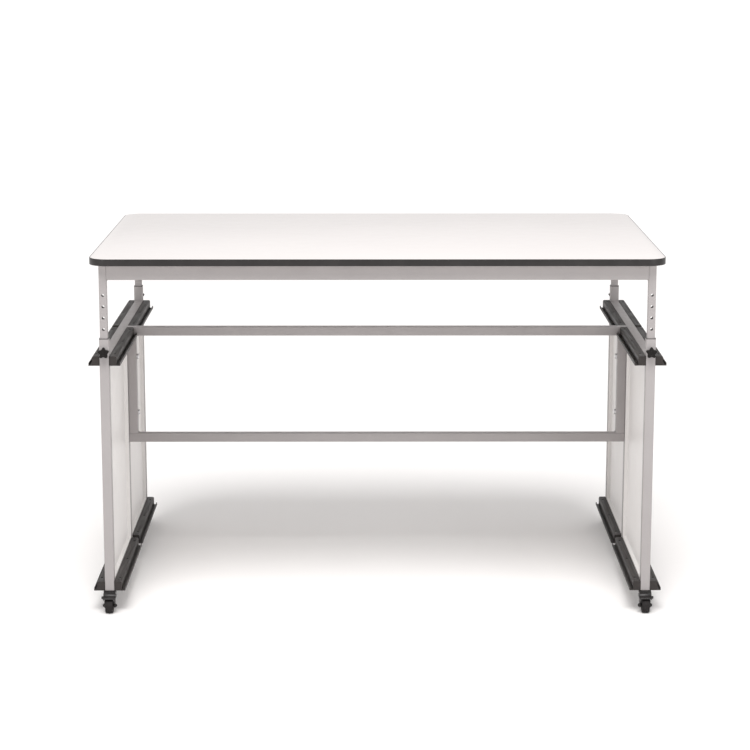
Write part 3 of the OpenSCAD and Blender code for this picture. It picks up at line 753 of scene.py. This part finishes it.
class TABLE_OT_knobs(bpy.types.Operator):
    """Five-lobed clamping knobs with domed faces and threaded studs"""

    bl_idname = "table.knobs"
    bl_label = "Knobs"

    def execute(self, context):
        for corner, (sx, sy) in CORNERS.items():
            node = f"knob_{corner}"
            low, high = box_of(node)
            centre = np.array(JOINTS[f"knob_turn_{corner}"]["pos_m"])
            seat = self.seat(corner, sy)
            top = (-low[1] if sy < 0 else high[1]) - seat
            shape = joined(self.star(top), self.stud(seat - self.tip(corner, sy)))
            shape = placed(shape, turn=((sx, 0, 0), (0, 0, sy), (0, 1, 0)))
            shape = placed(shape, (centre[0], sy * seat, centre[2]))
            make_piece(f"{node}_star", shape, node, finish("knob_nylon"), [node], 40)
        return {"FINISHED"}

    def seat(self, corner, sy):
        """Distance from mid-depth to the knob's seat, just off the boss."""
        low, high = box_of(f"outer_leg_{corner}")
        return (-low[1] if sy < 0 else high[1]) + 0.3 * MM

    def tip(self, corner, sy):
        """Distance from mid-depth to the stud's tip, just off the inner leg."""
        low, high = box_of(f"inner_leg_{corner}")
        return (-low[1] if sy < 0 else high[1]) + 0.3 * MM

    def star(self, top, lobes=5, radius=15 * MM, waist=10.4 * MM):
        """Radius over the angle a: waist + (radius - waist) ((1 + cos 5a) / 2) ^ 1.15, scaled from the middle
        out along a height profile with a collar below, a 2.4 mm edge round and a shallow dished face."""
        a = np.arange(120) * TAU / 120
        swell = ((1 + np.cos(lobes * (a - math.pi / 2))) / 2) ** 1.15
        edge = waist + (radius - waist) * swell
        t = np.linspace(0, math.pi / 2, 6)
        r = 2.4 * MM / radius
        rim = [(1 - r + r * math.cos(k), top - 2.4 * MM + 2.4 * MM * math.sin(k)) for k in t]
        foot = [(1 - r + r * math.cos(k), 2 * MM + 1.2 * MM - 1.2 * MM * math.sin(k)) for k in t[::-1]]
        face = [(0.68, top - 0.1 * MM), (0.56, top - 0.1 * MM), (0.5, top - 0.5 * MM), (0.44, top - 1.1 * MM)]
        cap = [(0.4, top - 1.1 * MM), (0.37, top - 0.7 * MM), (0.3, top - 0.45 * MM), (0, top - 0.3 * MM)]
        body = foot + rim + face + cap
        scale, height = np.array(body).T
        # inside the dish the outline turns into a plain circle
        blend = np.clip((scale - 0.5) / 0.4, 0, 1)[:, None]
        reach = scale[:, None] * (blend * edge + (1 - blend) * radius * 0.75)
        level = np.broadcast_to(height[:, None], reach.shape)
        points = np.stack([reach * np.cos(a), reach * np.sin(a), level], 2)
        collar = np.array([(0, 2), (0, 0), (6.4, 0), (7, 0.6), (7, 2), (9, 2)]) * MM
        under = lathe(collar, 120)
        faces = grid_faces(len(body), 120, close_columns=True) + [list(range(120))[::-1]]
        return joined((points.reshape(-1, 3), faces), under)

    def stud(self, length, radius=3 * MM, pitch=1 * MM):
        """A thread of radius r - d (1 - cos(2 pi z / pitch - a)) / 2 that runs down from the seat."""
        depth = 0.3 * MM
        z = np.arange(0, length + 2 * MM, pitch / 8)
        a = np.arange(24) * TAU / 24
        wave = (1 - np.cos(TAU * (z[:, None] / pitch) - a[None])) / 2
        reach = radius - depth * wave
        reach *= np.clip((length + 2 * MM - z) / (0.8 * MM), 0.75, 1)[:, None]
        height = np.broadcast_to(2 * MM - z[:, None], reach.shape)
        points = np.stack([reach * np.cos(a), reach * np.sin(a), height], 2)
        return points.reshape(-1, 3), capped_faces(len(z), len(a))


# Sizes of a castor: X runs across it from the swivel axis, radii and angles go about the axle
CHEEK_IN, CHEEK_OUT = 12 * MM, 14.5 * MM
EAR_IN, EAR_OUT = 14.8 * MM, 16.2 * MM
HEAD_HEIGHT = 8.2 * MM
CHEEK_ROUND, EYE_ROUND = 10.8 * MM, 7 * MM
CHEEK_ROUND_Z = 47 * MM
PEDAL_INNER, PEDAL_OUTER = 26.5 * MM, 29 * MM
PEDAL_START, PEDAL_END = math.radians(88), math.radians(130)
SKIRT_HEIGHT = 5 * MM
STOP_RADIUS, STOP_ANGLE = 25.25 * MM, math.radians(110)
WHEEL_OFFSET = -1 * MM


class TABLE_OT_castors(bpy.types.Operator):
    """Swivel castors: pressed forks, wheels, axle bolts and curved brake pedals"""

    bl_idname = "table.castors"
    bl_label = "Castors"

    def execute(self, context):
        for corner, (sx, sy) in CORNERS.items():
            axle = np.array(JOINTS[f"wheel_spin_{corner}"]["pos_m"])
            stem = np.array(JOINTS[f"castor_swivel_{corner}"]["pos_m"])
            pivot = np.array(JOINTS[f"brake_pedal_{corner}"]["pos_m"])
            # the parts are drawn for the front left castor about its stem, then mirrored
            flip = (-sx, -sy, 1)
            at = (stem[0] * -sx, stem[1] * -sy, 0)
            trail = abs(axle[1] - stem[1])
            lift = axle[2]
            rest = abs(stem[1]) - abs(pivot[1])
            for part, body, shape, material in (
                ("castor_fork", "castor", self.fork(corner, trail, lift), "castor_lacquer"),
                ("castor_axle", "castor", self.axle(trail, lift), "castor_lacquer"),
                ("castor_wheel", "wheel", self.wheel(trail, lift), "tyre_rubber"),
                ("castor_brake", "brake", self.brake(trail, lift, rest, pivot[2]), "castor_lacquer"),
            ):
                node = f"{part}_{corner}"
                shell = placed(shape, at, flip=flip)
                body = f"{body}_{corner}"
                make_piece(f"{node}_shell", shell, body, finish(material), [node], 40)
        return {"FINISHED"}

    def fork(self, corner, trail, lift):
        """A rounded head block over two cheeks, a web behind the stem and a round boss on the wide side."""
        low, high = box_of(f"castor_fork_{corner}")
        half = (high[0] - low[0]) / 2
        top = high[2]
        front, back = trail + 2.5 * MM, 12 * MM
        head = prism(rectangle(2 * half, front + back, 4 * MM, 8), top - HEAD_HEIGHT, top, 0.8 * MM, 5)
        shapes = [placed(head, (0, (back - front) / 2, 0))]
        cheek = tangent_outline((0, CHEEK_ROUND_Z), CHEEK_ROUND, (-trail, lift), EYE_ROUND)
        for x in (-CHEEK_OUT, CHEEK_IN):
            plate = prism(cheek, x, x + CHEEK_OUT - CHEEK_IN, 0.6 * MM, 3)
            shapes.append(placed(plate, turn=ALONG_X))
        web = prism(rectangle(24.4 * MM, 1.9 * MM, 0.4 * MM, 2), 40 * MM, 50.4 * MM, 0.3 * MM, 2)
        shapes.append(placed(web, (0, 7.75 * MM, 0)))
        boss = np.array([(3.05, 9.8), (3.6, 9.8), (4.3, 10.3), (4.8, 11.2), (5, 12.1), (3.05, 12.1)]) * MM
        boss = placed(lathe(boss, 40, True), turn=ALONG_X)
        shapes.append(placed(boss, (0, -trail, lift)))
        return joined(*shapes)

    def axle(self, trail, lift):
        """A rod between two caps; each cap is a hemisphere of 5 mm on a low collar."""
        t = np.linspace(0, math.pi / 2, 9)[1:]
        cap = [(5 * math.sin(k), 14.7 + 4.8 * math.cos(k)) for k in t] + [(5, 14.5), (3, 14.5)]
        profile = [(0, 19.5)] + cap + [(r, -x) for r, x in cap[::-1]] + [(0, -19.5)]
        shape = placed(lathe(np.array(profile) * MM, 36), turn=ALONG_X)
        return placed(shape, (0, -trail, lift))

    def wheel(self, trail, lift):
        """Half profile from the bore out: hub, sunk web, rim step, tyre with a tight shoulder and
        two shallow grooves in its flat tread; mirrored for the other half."""
        hub = [(3.05, 10.5), (6, 10.5), (6.5, 10), (6.6, 4.2)]
        web = [(7.4, 3.4), (12.6, 3.2), (13.4, 4), (13.8, 8.3), (14.3, 8.9), (15, 9)]
        shoulder = [(15.3, 9.6), (16, 10), (18.8, 10), (19.5, 9.8), (19.9, 9.3), (20, 8.7)]
        tread = [(20, 6.4), (19.6, 6.2), (19.6, 5.7), (20, 5.5), (20, 0)]
        half = hub + web + shoulder + tread
        profile = half + [(r, -x) for r, x in half[-2::-1]]
        shape = placed(lathe(np.array(profile) * MM, 72, True), turn=ALONG_X)
        return placed(shape, (WHEEL_OFFSET, -trail, lift))

    def brake(self, trail, lift, rest, rise):
        """The pedal is a smooth arc about the axle with rolled edges; arms lead back to the pivot."""
        centre = np.array([-trail, lift])
        a = np.linspace(PEDAL_START, PEDAL_END, 49)
        lip = np.clip((a - PEDAL_START) / 0.06, 0, 1) * np.clip((PEDAL_END - a) / 0.07, 0, 1)
        thick = (PEDAL_OUTER - PEDAL_INNER) * np.sqrt(0.2 + 0.8 * lip * (2 - lip))
        # the cross-section is a slab with rounded ends, a little crowned across the pedal
        across = np.linspace(-1, 1, 25)
        top_line = np.stack([across[::-1] * EAR_OUT, 0.5 - 0.14 * np.abs(across[::-1]) ** 6], 1)
        under = np.stack([across * EAR_OUT, np.full(25, -0.5)], 1)
        section = np.concatenate([under, top_line])
        x = np.broadcast_to(section[:, 0], (len(a), len(section)))
        radius = PEDAL_INNER + thick[:, None] * (section[:, 1][None] + 0.5)
        y = centre[0] + radius * np.cos(a)[:, None]
        points = np.stack([x, y, centre[1] + radius * np.sin(a)[:, None]], 2)
        shapes = [(points.reshape(-1, 3), capped_faces(len(a), len(section)))]
        # a hollow-faced rib on the pedal closes the view between it and the head: a quadratic curve
        t = np.linspace(0, 1, 13)[:, None]
        curve = (1 - t) ** 2 * (-12.2, 26.0) + 2 * t * (1 - t) * (-4.6, 28.9) + t**2 * (-3.9, 35.4)
        rib = np.concatenate([curve, [(-2.9, 35.4), (-2.9, 27.4), (-7, 26.9), (-11.4, 25.2)]])
        rib = prism(centre + rib[::-1] * MM, -EAR_OUT, EAR_OUT, 0.25 * MM, 2)
        shapes.append(placed(rib, turn=ALONG_X))
        # arms and side skirts
        middle = (PEDAL_START + PEDAL_END) / 2
        grip = centre + (PEDAL_OUTER - 3.5 * MM) * np.array([math.cos(middle), math.sin(middle)])
        arm = tangent_outline((rest, rise), 4 * MM, grip, 3.4 * MM)
        b = np.linspace(PEDAL_START + 0.02, PEDAL_END - 0.02, 24)
        skirt = np.concatenate([
            centre + (PEDAL_OUTER - 0.5 * MM) * np.stack([np.cos(b), np.sin(b)], 1),
            centre + (PEDAL_INNER - SKIRT_HEIGHT) * np.stack([np.cos(b[::-1]), np.sin(b[::-1])], 1),
        ])
        for x in (-EAR_OUT, EAR_IN):
            for outline in (arm, skirt):
                plate = prism(outline, x, x + EAR_OUT - EAR_IN, 0.35 * MM, 2)
                shapes.append(placed(plate, turn=ALONG_X))
        # pivot pins with domed heads, and the thumb stop on the outer side
        pin = lathe([(0, 12), (2, 12), (2, 15.9), (2.6, 16.1), (2, 16.2), (0, 16.2)], 24)
        pins = [(pin[0] * MM, pin[1]), (pin[0] * MM * (1, 1, -1), pin[1])]
        shapes += [placed(placed(p, turn=ALONG_X), (0, rest, rise)) for p in pins]
        t = np.linspace(0, math.pi / 2, 7)
        edge = [(1.95 + 1.8 * math.cos(k), -19.2 - 1.8 * math.sin(k)) for k in t]
        stop = np.array([(0, -15.5), (3.75, -15.5), (3.75, -19)] + edge + [(0, -21)]) * MM
        at = centre + STOP_RADIUS * np.array([math.cos(STOP_ANGLE), math.sin(STOP_ANGLE)])
        shapes.append(placed(placed(lathe(stop, 28), turn=ALONG_X), (0, at[0], at[1])))
        return joined(*shapes)


# ---- floor, lights and camera

FLOOR_REACH = 300
SENSOR_WIDTH = 36
FOCAL_LENGTH = 106.5
CAMERA_AT = (-0.0204, -6.1468, 1.7848)
CAMERA_DOWN = math.radians(11.306)
CAMERA_YAW = math.radians(-0.138)

class TABLE_OT_stage(bpy.types.Operator):
    """Plain pale floor, soft studio light and the camera"""

    bl_idname = "table.stage"
    bl_label = "Stage"

    def execute(self, context):
        scene = context.scene
        self.floor()
        self.world(scene)
        self.lights()
        self.camera(scene)
        scene.view_settings.view_transform = "Standard"
        scene.view_settings.look = "None"
        scene.view_settings.exposure = 0
        return {"FINISHED"}

    def floor(self):
        """A level sheet that reaches past the horizon."""
        mesh = bpy.data.meshes.new("studio_floor")
        corners = [(FLOOR_REACH * x, FLOOR_REACH * y, 0) for x, y in ((-1, -1), (1, -1), (1, 1), (-1, 1))]
        mesh.from_pydata(corners, [], [(0, 1, 2, 3)])
        mesh.materials.append(finish("floor_paint"))
        floor = bpy.data.objects.new("studio_floor", mesh)
        bpy.context.scene.collection.objects.link(floor)

    def world(self, scene):
        world = bpy.data.worlds.new("studio")
        scene.world = world
        world.use_nodes = True
        background = world.node_tree.nodes["Background"]
        background.inputs["Color"].default_value = (1, 1, 1, 1)
        background.inputs["Strength"].default_value = 0.72

    def lights(self):
        """A broad overhead key from the front, and two large, weak boxes that open up the side panels."""
        key = bpy.data.lights.new("key_sky", "SUN")
        key.energy = 1.85
        key.angle = math.radians(31)
        self.aim(key, (-0.2, -2.35, 4.4), (0, 0, 0))
        for name, place, target, size, watts in (
            ("front_box", (0, -1.45, 2.9), (0, -0.3, 0.9), 1.4, 13),
            ("fill_right", (2.8, -3.2, 1.3), (-0.7, 0, 0.4), 2.0, 25),
            ("fill_left", (-2.8, -3.2, 1.3), (0.7, 0, 0.4), 2.0, 15),
        ):
            box = bpy.data.lights.new(name, "AREA")
            box.shape = "SQUARE"
            box.size = size
            box.energy = watts
            self.aim(box, place, target)

    def aim(self, light, place, target):
        """Puts the light at place, with its -Z towards the target."""
        lamp = bpy.data.objects.new(light.name, light)
        bpy.context.scene.collection.objects.link(lamp)
        lamp.location = place
        lamp.rotation_euler = (Vector(target) - Vector(place)).to_track_quat("-Z", "Y").to_euler()

    def camera(self, scene):
        """The camera stands in front of the table at eye height and looks slightly down."""
        data = bpy.data.cameras.new("camera")
        data.sensor_width = SENSOR_WIDTH
        data.lens = FOCAL_LENGTH
        data.dof.use_dof = False
        camera = bpy.data.objects.new("camera", data)
        scene.collection.objects.link(camera)
        camera.location = CAMERA_AT
        camera.rotation_euler = (math.pi / 2 - CAMERA_DOWN, 0, CAMERA_YAW)
        scene.camera = camera


class TABLE_PT_panel(bpy.types.Panel):
    """Lists the builders and their sizes and colours"""

    bl_idname = "TABLE_PT_panel"
    bl_label = "Drafting Table"
    bl_space_type = "VIEW_3D"
    bl_region_type = "UI"
    bl_category = "Drafting Table"

    def draw(self, context):
        layout = self.layout
        for operator in OPERATORS:
            layout.operator(operator.bl_idname)
        for group in (context.scene.table_sizes, context.scene.table_finishes):
            column = layout.column()
            for name in group.__annotations__:
                column.prop(group, name)


OPERATORS = (
    TABLE_OT_stage,
    TABLE_OT_worktop,
    TABLE_OT_tubes,
    TABLE_OT_welds,
    TABLE_OT_panels,
    TABLE_OT_runners,
    TABLE_OT_fixings,
    TABLE_OT_knobs,
    TABLE_OT_castors,
)
CLASSES = (TableSizes, TableFinishes) + OPERATORS + (TABLE_PT_panel,)


def register():
    for cls in CLASSES:
        bpy.utils.register_class(cls)
    bpy.types.Scene.table_sizes = PointerProperty(type=TableSizes)
    bpy.types.Scene.table_finishes = PointerProperty(type=TableFinishes)


def unregister():
    del bpy.types.Scene.table_finishes
    del bpy.types.Scene.table_sizes
    for cls in reversed(CLASSES):
        bpy.utils.unregister_class(cls)


def main():
    register()
    bpy.ops.table.stage()
    bpy.ops.table.worktop()
    bpy.ops.table.tubes()
    bpy.ops.table.welds()
    bpy.ops.table.panels()
    bpy.ops.table.runners()
    bpy.ops.table.fixings()
    bpy.ops.table.knobs()
    bpy.ops.table.castors()


if __name__ == "__main__":
    main()
